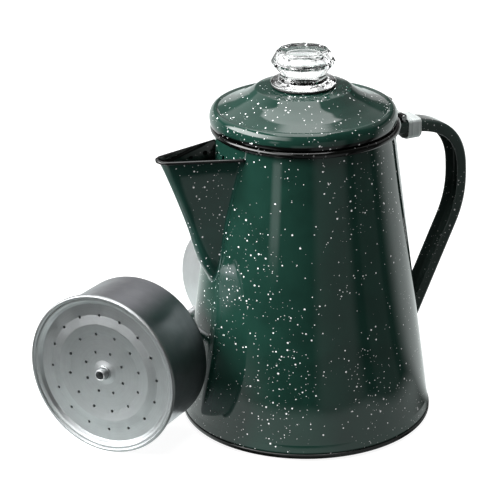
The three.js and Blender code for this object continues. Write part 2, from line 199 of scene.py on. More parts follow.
def piece(name, vertices, faces, sharp=35, marks=()):
    """A mesh object from points in millimetres. marks gives each face's material slot."""
    mesh = bpy.data.meshes.new(name)
    mesh.from_pydata([Vector(v) * MM for v in vertices], [], faces)
    if marks:
        mesh.polygons.foreach_set("material_index", marks)
    obj = bpy.data.objects.new(name, mesh)
    bpy.context.scene.collection.objects.link(obj)
    settle(obj, sharp)
    return obj


def settle(obj, sharp=35):
    """Joins equal points, turns the faces outwards and shades them smooth up to an angle."""
    edit = bmesh.new()
    edit.from_mesh(obj.data)
    bmesh.ops.remove_doubles(edit, verts=edit.verts, dist=1e-7)
    bmesh.ops.dissolve_degenerate(edit, edges=edit.edges, dist=1e-8)
    bmesh.ops.recalc_face_normals(edit, faces=edit.faces)
    edit.to_mesh(obj.data)
    edit.free()
    obj.data.shade_smooth()
    obj.data.set_sharp_from_angle(angle=math.radians(sharp))


def grid_faces(rows, columns, wrap_rows=False, wrap_columns=False):
    """Quads over a grid of points stored row by row."""
    faces = []
    for i in range(rows if wrap_rows else rows - 1):
        for j in range(columns if wrap_columns else columns - 1):
            a = i * columns + j
            b = i * columns + (j + 1) % columns
            c = ((i + 1) % rows) * columns + (j + 1) % columns
            d = ((i + 1) % rows) * columns + j
            faces.append((a, b, c, d))
    return faces


def lathe(name, outline, segments=160, sharp=35):
    """Turns a closed outline of (radius, height) round Z."""
    vertices = []
    for i in range(segments):
        a = 2 * math.pi * i / segments
        vertices += [(r * math.cos(a), r * math.sin(a), z) for r, z in outline]
    return piece(name, vertices, grid_faces(segments, len(outline), True, True), sharp)


def prism(name, outline, place, length, sharp=35):
    """Extrudes a closed outline by length. place(x, y, depth) gives each point's position."""
    count = len(outline)
    vertices = [place(x, y, 0) for x, y in outline] + [place(x, y, length) for x, y in outline]
    faces = [(i, (i + 1) % count, count + (i + 1) % count, count + i) for i in range(count)]
    faces += [tuple(range(count)), tuple(range(2 * count - 1, count - 1, -1))]
    return piece(name, vertices, faces, sharp)


def rod(name, r, length, centre, axis=(0, 0, 1), segments=24):
    """A round bar with its middle at centre."""
    half = length / 2
    outline = rounded([(0, -half), (r, -half, r / 6), (r, half, r / 6), (0, half)], 3)
    obj = lathe(name, outline, segments)
    turn = Vector((0, 0, 1)).rotation_difference(Vector(axis)).to_matrix().to_4x4()
    obj.data.transform(Matrix.Translation(Vector(centre) * MM) @ turn)
    return obj


def merge(obj, *others):
    """Moves the others' meshes into obj."""
    edit = bmesh.new()
    edit.from_mesh(obj.data)
    for other in others:
        edit.from_mesh(other.data)
        bpy.data.objects.remove(other)
    edit.to_mesh(obj.data)
    edit.free()
    return obj


def combine(obj, tool, operation, sharp=35):
    """Applies a boolean with the tool, which is then removed."""
    modifier = obj.modifiers.new("boolean", "BOOLEAN")
    modifier.operation = operation
    modifier.solver = "EXACT"
    modifier.object = tool
    graph = bpy.context.evaluated_depsgraph_get()
    mesh = bpy.data.meshes.new_from_object(obj.evaluated_get(graph))
    obj.modifiers.clear()
    obj.data = mesh
    bpy.data.objects.remove(tool)
    settle(obj, sharp)
    return obj


def soften(obj, width, segments=2, angle=40):
    """Bevels the edges that are sharper than an angle."""
    modifier = obj.modifiers.new("bevel", "BEVEL")
    modifier.width = width * MM
    modifier.segments = segments
    modifier.limit_method = "ANGLE"
    modifier.angle_limit = math.radians(angle)
    modifier.harden_normals = True
    return obj


def wall_radius(z):
    """The wall's outside radius at a height."""
    return WALL_R - WALL_TAPER * z


# ---------------------------------------------------------------- shader helpers


class Shader:
    """A node tree, built up node by node."""

    def __init__(self, owner, coordinates="Object"):
        owner.use_nodes = True
        self.nodes = owner.node_tree.nodes
        self.links = owner.node_tree.links
        self.surface = next((n for n in self.nodes if n.type == "BSDF_PRINCIPLED"), None)
        self.place = self.nodes.new("ShaderNodeTexCoord").outputs[coordinates]

    def node(self, kind, inputs=None, **settings):
        made = self.nodes.new("ShaderNode" + kind)
        for key, value in settings.items():
            setattr(made, key, value)
        for key, value in (inputs or {}).items():
            self.feed(made.inputs[key], value)
        return made

    def feed(self, socket, value):
        if isinstance(value, bpy.types.NodeSocket):
            self.links.new(value, socket)
        else:
            socket.default_value = value

    def set(self, **values):
        for key, value in values.items():
            self.feed(self.surface.inputs[key.replace("_", " ")], value)

    def math(self, operation, a, b=0.0):
        return self.node("Math", {0: a, 1: b}, operation=operation).outputs[0]

    def times(self, *values):
        product = values[0]
        for value in values[1:]:
            product = self.math("MULTIPLY", product, value)
        return product

    def brightest(self, *values):
        most = values[0]
        for value in values[1:]:
            most = self.math("MAXIMUM", most, value)
        return most

    def ramp(self, value, low, high, start=0.0, end=1.0):
        """Maps value from low..high to start..end, held at both ends."""
        inputs = {"Value": value, "From Min": low, "From Max": high, "To Min": start, "To Max": end}
        return self.node("MapRange", inputs, interpolation_type="SMOOTHSTEP").outputs["Result"]

    def band(self, value, low, high, soft):
        """1 between low and high, fading out over a width of soft at either end."""
        rise = self.ramp(value, low - soft / 2, low + soft / 2)
        fall = self.ramp(value, high - soft / 2, high + soft / 2, 1, 0)
        return self.times(rise, fall)

    def noise(self, scale, detail=2.0, place=None, roughness=0.5):
        inputs = {"Vector": place or self.place, "Scale": scale, "Detail": detail, "Roughness": roughness}
        return self.node("TexNoise", inputs).outputs["Fac"]

    def mix(self, factor, a, b):
        """Blends two colours."""
        made = self.node("Mix", data_type="RGBA")
        self.feed(made.inputs[0], factor)
        self.feed(made.inputs[6], a)
        self.feed(made.inputs[7], b)
        return made.outputs[2]

    def cells(self, scale):
        return self.node("TexVoronoi", {"Vector": self.place, "Scale": scale})

    def bump(self, height, strength, distance):
        inputs = {"Height": height, "Strength": strength, "Distance": distance * MM}
        return self.node("Bump", inputs).outputs["Normal"]

    def axis(self, letter):
        return self.node("SeparateXYZ", {"Vector": self.place}).outputs[letter]


def surface(name):
    """A new material and the tree of its Principled shader."""
    material = bpy.data.materials.new(name)
    return material, Shader(material)


def rgb(hex_colour):
    """A linear colour from its screen value."""

    def linear(v):
        return v / 12.92 if v <= 0.04045 else ((v + 0.055) / 1.055) ** 2.4

    return (*[linear(int(hex_colour[i : i + 2], 16) / 255) for i in (0, 2, 4)], 1)


BLACK = rgb("060706")
SPECKLE = (1.0, 1.0, 1.0, 1)


def speckles(shader, scale, smallest, largest, kept):
    """1 inside small round dots of mixed sizes, scattered in loose groups."""
    cells = shader.cells(scale)
    chance = shader.node("SeparateColor", {"Color": cells.outputs["Color"]})
    group = shader.ramp(shader.noise(32, 1.0), 0.38, 0.62, kept[0], kept[1])
    size = shader.math("POWER", chance.outputs[0], 1.6)
    size = shader.ramp(size, 0, 1, smallest * scale * MM, largest * scale * MM)
    size = shader.times(size, shader.math("LESS_THAN", chance.outputs[1], group))
    inside = shader.math("SUBTRACT", size, cells.outputs["Distance"])
    return shader.ramp(inside, 0, 0.16 * MM * scale)


def enamel(name, green, dots=1.0, black_below=None, black_above=None):
    """Glossy glass enamel, speckled white, dipped black beyond a height in millimetres."""
    material, shader = surface(name)
    deep = tuple(0.8 * c for c in green[:3]) + (1,)
    colour = shader.mix(shader.ramp(shader.noise(60, 3.0), 0.35, 0.7), green, deep)
    large = speckles(shader, 350, 0.34, 0.62, (0.3, 1.0))
    tiny = speckles(shader, 560, 0.2, 0.38, (0.1, 0.7))
    dot = shader.times(shader.brightest(large, shader.times(tiny, 0.7)), dots)
    wander = shader.times(shader.math("SUBTRACT", shader.noise(60, 3.0), 0.5), 1.4 * MM)
    height = shader.math("ADD", shader.axis("Z"), wander)
    if black_below is not None:
        border = shader.ramp(height, (black_below - 0.4) * MM, (black_below + 0.4) * MM, 1, 0)
        colour = shader.mix(border, colour, BLACK)
    if black_above is not None:
        border = shader.ramp(height, (black_above - 0.4) * MM, (black_above + 0.4) * MM)
        colour = shader.mix(border, colour, BLACK)
        dot = shader.times(dot, shader.ramp(border, 0, 1, 1, 0.12))
    colour = shader.mix(dot, colour, SPECKLE)
    waves = shader.bump(shader.noise(34, 1.0), 0.25, 0.5)
    peel = shader.node(
        "Bump",
        {"Height": shader.noise(420, 1.0), "Strength": 0.1, "Distance": 0.05 * MM, "Normal": waves},
    ).outputs["Normal"]
    shader.set(Base_Color=colour, Roughness=0.045, IOR=1.5, Normal=peel)
    return material


def black_enamel(name):
    """Glossy black enamel with a slow ripple."""
    material, shader = surface(name)
    cloud = shader.ramp(shader.noise(300, 3.0), 0.3, 0.7)
    colour = shader.mix(cloud, BLACK, rgb("0e100f"))
    ripple = shader.bump(shader.noise(70, 2.0), 0.15, 0.4)
    shader.set(Base_Color=colour, Roughness=0.06, IOR=1.5, Normal=ripple)
    return material


def brushed_stainless(name):
    """Stainless strip, brushed across its length."""
    material, shader = surface(name)
    stretch = shader.node("Mapping", {"Vector": shader.place, "Scale": (2600, 40, 40)}).outputs[0]
    lines = shader.noise(1.0, 4.0, stretch, 0.7)
    colour = shader.mix(shader.ramp(lines, 0.3, 0.7), rgb("c9cfce"), rgb("f2f5f4"))
    rough = shader.ramp(lines, 0.3, 0.7, 0.8, 0.66)
    shader.set(Base_Color=colour, Metallic=1.0, Roughness=rough, Normal=shader.bump(lines, 0.25, 0.05))
    return material


def polished_steel(name):
    """Bright steel, a little worn."""
    material, shader = surface(name)
    wear = shader.noise(900, 3.0)
    colour = shader.mix(shader.ramp(wear, 0.35, 0.65), rgb("c8cccb"), rgb("eef1f0"))
    shader.set(Base_Color=colour, Metallic=1.0, Roughness=shader.ramp(wear, 0.3, 0.7, 0.16, 0.26))
    return material


def clear_glass(name):
    """Pressed glass with faint ripples from the mould."""
    material, shader = surface(name)
    ripple = shader.bump(shader.noise(70, 1.0), 0.03, 0.3)
    shader.set(Base_Color=(0.985, 0.99, 0.988, 1), Roughness=0.0, IOR=1.5, Normal=ripple)
    shader.surface.inputs["Transmission Weight"].default_value = 1.0
    return material


def silicone(name):
    """Matt black rubber with a fine grain."""
    material, shader = surface(name)
    grain = shader.noise(1500, 3.0)
    colour = shader.mix(grain, rgb("0b0c0b"), rgb("1c1e1d"))
    shader.set(Base_Color=colour, Roughness=0.55, Normal=shader.bump(grain, 0.2, 0.05))
    return material


def spun_aluminium(name, light, dark, rough, turn):
    """Soft grey metal with faint turning marks round the pump's axis, found by the mapping turn."""
    material, shader = surface(name)
    turned = shader.node("Mapping", {"Vector": shader.place, "Rotation": turn[0], "Location": turn[1]})
    parts = shader.node("SeparateXYZ", {"Vector": turned.outputs[0]}).outputs
    squares = [shader.times(parts[letter], parts[letter]) for letter in "XY"]
    out = shader.math("SQRT", shader.math("ADD", *squares))
    rings = shader.node("CombineXYZ", {"X": out, "Y": parts["Z"]}).outputs[0]
    marks = shader.times(shader.noise(1500, 2.0, rings, 0.6), 0.3)
    cloud = shader.noise(70, 3.0)
    blend = shader.math("ADD", marks, shader.times(cloud, 0.7))
    colour = shader.mix(shader.ramp(blend, 0.3, 0.7), dark, light)
    roughness = shader.ramp(cloud, 0.3, 0.7, rough + 0.05, rough - 0.05)
    shader.set(Base_Color=colour, Metallic=1.0, Roughness=roughness)
    return material


# ---------------------------------------------------------------- the pump's own frame


def pump_frame():
    """From the pump's own frame (foot at zero, tube up) to the row frame, in metres."""
    along = Vector(joint("basket_slide")["axis"]).normalized()
    across = Vector((-along.y, along.x, 0)).normalized()
    down = across.cross(along)
    low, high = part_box("pump_tube")
    middle = (low + high) / 2
    foot = middle - along * (TUBE_FOOT + TUBE_TOP) / 2 * MM
    turn = Matrix((down, across, along)).transposed().to_4x4()
    return Matrix.Translation(foot) @ turn


PUMP = pump_frame()


def lay_down(obj):
    """Moves a mesh made upright, foot at zero, to where the pump lies."""
    obj.data.transform(PUMP)
    return obj


def on_lid_axis(obj):
    """Moves a mesh turned round Z onto the lid's axis."""
    obj.data.transform(Matrix.Translation((LID_X * MM, 0, 0)))
    return obj


def pump_texture():
    """The mapping that takes the row frame back to the pump's own, for its materials."""
    back = PUMP.inverted()
    return back.to_euler(), back.to_translation()


# ---------------------------------------------------------------- placing


def dress(obj, material, body, nodes):
    """Gives a piece its material and body, and hides the CAD nodes that it replaces."""
    marks = [face.material_index for face in obj.data.polygons]
    obj.data.materials.clear()
    obj.data.materials.append(material)
    obj.data.polygons.foreach_set("material_index", marks)
    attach(obj, body)
    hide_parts(*nodes)
    return obj


def paint(obj, material, chosen):
    """Gives a second material to the faces where chosen(centre, normal) is true."""
    obj.data.materials.append(material)
    index = len(obj.data.materials) - 1
    for face in obj.data.polygons:
        if chosen(face.center / MM, face.normal):
            face.material_index = index
    return obj


# ---------------------------------------------------------------- materials

GREEN = (0.0085, 0.0365, 0.0265, 1)
# The handle's green is a greyer, lighter copy of the pot's: painted light standing in for the light and
# dim reflections its hollow lacks.
HANDLE_PAINTED_LIGHT_GREEN = (0.026, 0.04, 0.035, 1)
POT_ENAMEL = enamel("pot_enamel", GREEN, black_above=170.2)
# The spout's green is a lighter copy of the pot's: painted light standing in for the floor's reflection on
# the spout.
SPOUT_PAINTED_LIGHT_ENAMEL = enamel("spout_enamel", (0.011, 0.044, 0.034, 1))
# The handle's enamel carries that painted-light green.
HANDLE_PAINTED_LIGHT_ENAMEL = enamel("handle_enamel", HANDLE_PAINTED_LIGHT_GREEN, dots=0.5)
LID_ENAMEL = enamel("lid_enamel", GREEN, black_below=176.9)
BLACK_ENAMEL = black_enamel("black_enamel")
STAINLESS = brushed_stainless("brushed_stainless")
POLISHED = polished_steel("polished_steel")
GLASS = clear_glass("clear_glass")
SILICONE = silicone("silicone")
SATIN = spun_aluminium("satin_aluminium", rgb("c8cacb"), rgb("b9bbbc"), 0.42, pump_texture())
DULL = spun_aluminium("dull_aluminium", rgb("abaeaf"), rgb("9a9d9e"), 0.42, pump_texture())
# The basket's aluminium is darkened and blued: a painted reflection of the dark pot beside it.
DRAWN_PAINTED_DARK = spun_aluminium("drawn_aluminium_painted_dark", rgb("95969b"), rgb("838589"), 0.35, pump_texture())
INNER = black_enamel("inner_enamel")


# ---------------------------------------------------------------- pot


def pot_body():
    m = STEEL / 2
    foot = wall_radius(4) - 0.35 - m
    line = rounded(
        [
            (foot, 2.7),
            (foot, 4.1, 0.4),
            (wall_radius(5) - 0.05, 5.1, 1),
            (wall_radius(9.5) - m, 9.5, 8),
            (wall_radius(WALL_TOP_Z) - m, WALL_TOP_Z, 9),
            (RIM_R - RIM_ROLL + 0.5, RIM_Z - 3.2),
        ],
        8,
    )
    steps = 44
    straight = [i for i, (a, b) in enumerate(zip(line, line[1:])) if b[1] - a[1] > 60][0]
    (r0, z0), (r1, z1) = line[straight], line[straight + 1]
    fill = [(r0 + (r1 - r0) * k / steps, z0 + (z1 - z0) * k / steps) for k in range(1, steps)]
    line = line[: straight + 1] + fill + line[straight + 1 :]
    line += arc(RIM_R, RIM_Z, RIM_ROLL - m, 200, -100, 22)
    obj = lathe("pot_body", sheet(line, STEEL), 224)
    holes = []
    for z, count in STRAINER_ROWS:
        for i in range(count):
            a = math.pi + (i - (count - 1) / 2) * STRAINER_PITCH
            out = Vector((math.cos(a), math.sin(a), 0))
            centre = out * wall_radius(z) + Vector((0, 0, z))
            holes.append(rod("hole", STRAINER_R, 8, centre, out))
    combine(obj, merge(*holes), "DIFFERENCE")
    dress(obj, POT_ENAMEL, "pot", ["pot_body"])
    return paint(obj, INNER, lambda c, n: c.xy.length < wall_radius(c.z) - 0.6 and c.z < 168)


def base_pan():
    lip = wall_radius(4) - 0.35 + 0.15
    middle = (BASE_R + lip) / 2
    outline = rounded([(0, 0), (66.6, 0, 2), (68.4, 0.5, 1), (69.4, 1.3)], 4)
    outline += arc(BASE_R - 1.5, 2.9, 1.5, -100, 0, 12)
    outline += arc(middle, 4.0, (BASE_R - lip) / 2, 0, 180, 8)
    outline += [(lip, 2.5), (69.2, 2.5), (67.6, 1.4), (66.2, STEEL), (0, STEEL)]
    obj = lathe("base_pan", outline, 224)
    return dress(obj, BLACK_ENAMEL, "pot", ["base_pan"])


SPOUT_HALF_ANGLE = math.radians(18.5)
SPOUT_STATIONS = [
    (84, 55, 6.5),  # height, reach of the ridge, its rounding
    (92, 60.6, 6.5),
    (97, 63.4, 6.8),
    (103, 66.2, 6.7),
    (111, 69, 5.8),
    (124, 72.8, 4.4),
    (142, 79.2, 4.2),
    (158, 85.5, 4.3),
    (163, 87.7, 4.8),
    (166.5, 89.5, 5.7),
    (172, 93, 8),
]
MOUTH_TIP = (-90, 165.6)
MOUTH_ROOT = (-46, 164.9)
WELD = 1.3  # width of the fillet on the wall
LIP_BEAD = 0.95
FILLET_STEPS = 6
SKIN_STEPS = 26


def spout_station(z):
    """The ridge's reach and rounding at a height, on a smooth curve through the stations."""
    rows = SPOUT_STATIONS
    k = max(i for i in range(len(rows) - 1) if rows[i][0] <= z or i == 0)
    before, here, after, later = rows[max(k - 1, 0)], rows[k], rows[k + 1], rows[min(k + 2, len(rows) - 1)]
    span = after[0] - here[0]
    t = (z - here[0]) / span
    values = []
    for i in (1, 2):
        start = (after[i] - before[i]) / (after[0] - before[0]) * span
        end = (later[i] - here[i]) / (later[0] - here[0]) * span
        a = 2 * t**3 - 3 * t**2 + 1
        b = t**3 - 2 * t**2 + t
        c = -2 * t**3 + 3 * t**2
        d = t**3 - t**2
        values.append(a * here[i] + b * start + c * after[i] + d * end)
    return values


def spout_point(s, z):
    """A point of the spout's skin at height z. s runs along the fold: the ridge is 0."""
    ridge, nose = spout_station(z)
    side = 1 if s >= 0 else -1
    sweep = math.pi / 2 - SPOUT_HALF_ANGLE
    travel = abs(s)
    centre = nose - ridge
    turn = min(travel / nose, sweep)
    rest = max(travel - nose * sweep, 0)
    x = centre - nose * math.cos(turn)
    y = nose * math.sin(turn)
    x += rest * math.cos(SPOUT_HALF_ANGLE)
    y += rest * math.sin(SPOUT_HALF_ANGLE)
    return Vector((x, side * y, z))


def outside(p):
    """How far a point stands off the wall."""
    return p.xy.length - wall_radius(p.z)


def mouth_height(x):
    """The height of the mouth's edge, which is level across and straight from tip to root."""
    (x0, z0), (x1, z1) = MOUTH_TIP, MOUTH_ROOT
    return z0 + (x - x0) * (z1 - z0) / (x1 - x0)


def bisect(low, high, positive):
    """Where positive(value) changes between low, where it is false, and high."""
    for _ in range(40):
        middle = (low + high) / 2
        if positive(middle):
            high = middle
        else:
            low = middle
    return (low + high) / 2


def spout_skin():
    """Rows of points from the weld on the wall up to the mouth, for each place along the fold."""
    root = bisect(0, 60, lambda s: outside(spout_point(s, mouth_height(spout_point(s, 165).x))) < 0)
    count = 48
    places = [root * math.sin(math.pi / 2 * (2 * i / count - 1)) for i in range(count + 1)]
    starts, tops = [], []
    for s in places:
        top = 165.0
        for _ in range(12):
            top = mouth_height(spout_point(s, top).x)
        low = bisect(84.5, top, lambda z: outside(spout_point(s, z)) > 0)
        starts.append(low)
        tops.append(top)
    return places, starts, tops


def against_wall(point, clearance):
    """The point moved level, straight out from the pot's axis, to a clearance off the wall."""
    reach = (wall_radius(point.z) + clearance) / point.xy.length
    return Vector((point.x * reach, point.y * reach, point.z))


def weld_edge(contact, i):
    """The thin outer edge of the fillet, on the wall beside the fold's contact line."""
    here = contact[i]
    along = contact[min(i + 1, len(contact) - 1)] - contact[max(i - 1, 0)]
    normal = Vector((here.x, here.y, WALL_TAPER * here.xy.length)).normalized()
    away = along.cross(normal).normalized()
    lowest = abs(here.y) < 1
    if (lowest and away.z > 0) or (not lowest and away.y * here.y < 0):
        away = -away
    return against_wall(here + away * WELD, 0.12)


def spout_column(s, low, top, contact, edge):
    """A closed strip of points: fillet, outer skin, rolled lip and inner skin."""
    first = low + min(WELD * 1.6, 0.5 * (top - low) + 0.01)
    start = spout_point(s, first)
    column = [against_wall(edge, -0.3)]
    for k in range(FILLET_STEPS):
        t = k / FILLET_STEPS
        column.append(edge * (1 - t) ** 2 + contact * 2 * t * (1 - t) + start * t * t)
    rise = (top - first) / SKIN_STEPS
    column += [spout_point(s, first + rise * k) for k in range(SKIN_STEPS + 1)]
    normal = fold_normal(s, top)
    centre = column[-1] + normal * (LIP_BEAD - 0.2) + Vector((0, 0, 0.1))
    for k in range(13):
        a = math.radians(-115 + 275 * k / 12)
        column.append(centre + (normal * math.cos(a) + Vector((0, 0, math.sin(a)))) * LIP_BEAD)
    inner_top = top - 0.6
    for k in range(13):
        z = inner_top - (inner_top - low - 0.2) * k / 12
        column.append(spout_point(s, z) - fold_normal(s, z) * STEEL)
    if outside(column[-1]) > -0.3:
        column[-1] = against_wall(column[-1], -0.3)
    return column


def spout():
    """A folded sheet with a rolled lip, its foot drawn out into a thin fillet on the wall."""
    places, starts, tops = spout_skin()
    contact = [spout_point(s, z) for s, z in zip(places, starts)]
    columns = []
    for i, s in enumerate(places):
        columns.append(spout_column(s, starts[i], tops[i], contact[i], weld_edge(contact, i)))
    count = len(columns[0])
    skin = FILLET_STEPS + SKIN_STEPS + 1
    vertices = [p for column in columns for p in column]
    faces = grid_faces(len(columns), count, False, True)
    marks = [int(k % count >= skin) for k in range(len(faces))]
    faces.append(tuple(range(count)))
    faces.append(tuple(range(len(vertices) - 1, len(vertices) - count - 1, -1)))
    obj = piece("spout", vertices, faces, 50, marks + [1, 1])
    dress(obj, SPOUT_PAINTED_LIGHT_ENAMEL, "pot", ["spout"])
    obj.data.materials.append(BLACK_ENAMEL)
    return obj


def fold_normal(s, z):
    """Level direction away from the spout's inside."""
    ridge, nose = spout_station(z)
    turn = min(abs(s) / nose, math.pi / 2 - SPOUT_HALF_ANGLE)
    return Vector((-math.cos(turn), math.copysign(math.sin(turn), s), 0))


# ---------------------------------------------------------------- handle


def bezier(points, steps):
    """Points on a cubic curve, both ends included."""
    a, b, c, d = [Vector(p) for p in points]
    line = []
    for i in range(steps + 1):
        t = i / steps
        line.append(a * (1 - t) ** 3 + b * 3 * t * (1 - t) ** 2 + c * 3 * t * t * (1 - t) + d * t**3)
    return line


def handle_path():
    """The line of the strap's outer face, (x, z), from under the rim to the low end."""
    shoulder = bezier([(62, HANDLE_TOP_Z), (85.5, HANDLE_TOP_Z), (101.6, 156.6), (102.2, 132.5)], 44)
    grip = bezier([(102.2, 132.5), (103, 118.5), (100.9, 108.4), (95.4, 96.8)], 26)
    start = [Vector((44 + 18 * i / 5, HANDLE_TOP_Z)) for i in range(5)]
    end = [Vector((95.4, 96.8)).lerp(Vector((62.4, 26)), i / 24) for i in range(1, 25)]
    return start + shoulder + grip[1:] + end


def handle():
    m = STEEL / 2
    side = HANDLE_W / 2 - m
    section = sheet(
        rounded([(HANDLE_DEPTH - m, -side), (m, -side, 2.3), (m, side, 2.3), (HANDLE_DEPTH - m, side)], 7),
        STEEL,
        6,
    )
    path = handle_path()
    vertices = []
    for i, p in enumerate(path):
        ahead = (path[min(i + 1, len(path) - 1)] - path[max(i - 1, 0)]).normalized()
        inward = Vector((ahead.y, -ahead.x))
        inward = inward if inward.y < 0 or i > 5 else -inward
        for depth, across in section:
            vertices.append((p.x + inward.x * depth, across, p.y + inward.y * depth))
    count = len(section)
    faces = grid_faces(len(path), count, False, True)
    faces.append(tuple(range(count)))
    faces.append(tuple(range(len(vertices) - 1, len(vertices) - count - 1, -1)))
    obj = piece("handle", vertices, faces)
    low, top = -5, 169.5
    wall = [(wall_radius(z) - 0.1, z) for z in (low, WALL_TOP_Z)]
    space = lathe("space", [(0, low), *wall, (48.6, top), (0, top)], 224)
    combine(obj, space, "DIFFERENCE")
    return dress(obj, HANDLE_PAINTED_LIGHT_ENAMEL, "pot", ["handle"])


# ---------------------------------------------------------------- lid hinge


def across_y(width):
    """Places an outline of (x, z) across Y, centred on the plane of symmetry."""
    return lambda x, y, depth: (x, depth - width / 2, y)


def hinge_band():
    """A band round the handle's top, closed by a bulge below it, with a tab rolled round the pin."""
    m = BAND_SHEET / 2
    side = HANDLE_W / 2 + 0.2 + m
    top = HANDLE_TOP_Z + 0.2 + m
    foot = HANDLE_TOP_Z - HANDLE_DEPTH - 1.2
    bulge = [(side, foot, 1.6), (side - 2.4, foot - 2.6, 2), (0, foot - 3.5)]
    right = rounded([(0, top), (side, top, 2.4), *bulge], 6)
    loop = right + [(-x, y) for x, y in reversed(right[1:-1])]
    outer, inner = [], []
    for i, p in enumerate(loop):
        here = Vector(p)
        along = (Vector(loop[(i + 1) % len(loop)]) - Vector(loop[i - 1])).normalized()
        normal = Vector((-along.y, along.x))
        outer.append(here + normal * m)
        inner.append(here - normal * m)
    count = len(loop)
    vertices = []
    for x in (BAND_X, BAND_X + BAND_LENGTH):
        vertices += [(x, p.x, p.y) for p in outer]
        vertices += [(x, p.x, p.y) for p in inner]
    faces = []
    for i in range(count):
        j = (i + 1) % count
        faces.append((i, j, 2 * count + j, 2 * count + i))
        faces.append((count + i, count + j, 3 * count + j, 3 * count + i))
        faces.append((i, j, count + j, count + i))
        faces.append((2 * count + i, 2 * count + j, 3 * count + j, 3 * count + i))
    band = piece("hinge_band", vertices, faces)
    curl = [(BAND_X + 2, PIN.z - KNUCKLE_R)] + arc(PIN.x, PIN.z, KNUCKLE_R, 270, -10, 24)
    tab = prism("tab", sheet(curl, BAND_SHEET), across_y(BAND_TAB_W), BAND_TAB_W)
    combine(band, tab, "UNION")
    soften(band, 0.16)
    return dress(band, STAINLESS, "pot", ["hinge_band"])


def hinge_pin():
    shank = rod("hinge_pin", PIN_R, TONGUE_W + 1, PIN, (0, 1, 0))
    out = Vector((0, TONGUE_W / 2 + 0.65, 0))
    heads = [rod("head", 1.55, 0.75, PIN + side * out, (0, 1, 0)) for side in (-1, 1)]
    merge(shank, *heads)
    settle(shank)
    return dress(shank, POLISHED, "pot", ["hinge_pin"])


def lid_tongue():
    line = rounded(
        [(LID_X + LID_R + 0.7, 181), (LID_X + LID_R + 0.7, 176.2, 2), (54, 173.6, 2), (54.2, 172.2)]
        + arc(PIN.x, PIN.z, KNUCKLE_R, 118, -170, 26),
        5,
    )
    strip = prism("lid_tongue", sheet(line, 0.8), across_y(TONGUE_W), TONGUE_W)
    notch = BAND_TAB_W / 2 + 0.3
    left, right, low, high = PIN.x - 2.9, PIN.x + 4, PIN.z - 4, PIN.z + 4
    corners = [(left, low), (right, low), (right, high), (left, high)]
    gap = prism("gap", corners, across_y(2 * notch), 2 * notch)
    combine(strip, gap, "DIFFERENCE")
    soften(strip, 0.12)
    return dress(strip, BLACK_ENAMEL, "lid", ["lid_tongue"])


# ---------------------------------------------------------------- lid


def pair_of_blocks(near, far, half_width, foot, height, turn):
    """Two upright blocks on opposite sides of Z, from radius near to far, at turn radians."""
    corners = [(near, -half_width), (far, -half_width), (far, half_width), (near, half_width)]
    blocks = []
    for angle in (turn, turn + math.pi):
        block = prism("block", corners, lambda x, y, depth: (x, y, foot + depth), height)
        block.data.transform(Matrix.Rotation(angle, 4, "Z"))
        blocks.append(block)
    return merge(*blocks)


def lid_shell():
    """The domed lid with its rolled edge, and two notches in the hole for the knob's lugs."""
    m = STEEL / 2
    line = rounded(
        [
            (LID_HOLE_R, SEAT_Z - m - 0.1),
            (20, SEAT_Z - m),
            (CREASE_R, SEAT_Z - 0.7 - m, 1.8),
            (32, SEAT_Z - 4.9 - m, 30),
            (39, SEAT_Z - 8.5 - m, 40),
            (46.8, SEAT_Z - 11.5 - m, 1.4),
            (47.6, SEAT_Z - 11.85 - m, 0.5),
            (47.9, SEAT_Z - 11.6 - m),
        ],
        10,
    )[:-1]
    roll = arc(0, 0, 1, 108, 0, 18)
    line += [(LID_R - 3.6 + (3.6 - m) * x, 178.2 + (5.75 - m) * y) for x, y in roll]
    line += [(LID_R - m - 0.05, 177.2), (LID_R - m - 0.3, LID_EDGE_Z + m)]
    obj = lathe("lid_shell", sheet(line, STEEL), 224)
    combine(obj, pair_of_blocks(8, 13.7, 3.4, SEAT_Z - 3, 5, 0), "DIFFERENCE")
    on_lid_axis(obj)
    return dress(obj, LID_ENAMEL, "lid", ["lid_shell"])


def lid_skirt():
    m = STEEL / 2
    top = SEAT_Z - 12.6 - STEEL - 0.3 - m
    line = rounded([(41, top + 2.2), (SKIRT_R - m, top, 2), (SKIRT_R - m, SKIRT_FOOT_Z + m)], 8)
    obj = on_lid_axis(lathe("lid_skirt", sheet(line, STEEL), 200))
    return dress(obj, BLACK_ENAMEL, "lid", ["lid_skirt"])


def knob_gasket():
    low, high = node_box("knob_gasket")
    ring = rounded(
        [
            (14.5, low.z),
            (high.x - LID_X, low.z, 0.4),
            (high.x - LID_X, high.z, 0.4),
            (11.6, high.z, 0.4),
            (11.6, low.z, 0.4),
            (14.5, low.z),
        ],
        4,
    )
    obj = on_lid_axis(lathe("knob_gasket", ring[:-1], 128))
    return dress(obj, SILICONE, "lid", ["knob_gasket"])


# ---------------------------------------------------------------- glass knob


def knob_radius(r, z, angle):
    """Round below the crown and inside it, and faceted on the crown's outside."""
    if z <= KNOB_CROWN_Z or r <= KNOB_ROUND_R:
        return r
    step = 2 * math.pi / KNOB_FACETS
    off_centre = (angle % step) - step / 2
    faceted = r * math.cos(step / 2) / math.cos(off_centre)
    share = min(max((z - 203.2) / 2.2, 0), 1)
    return r + share * (faceted - r)


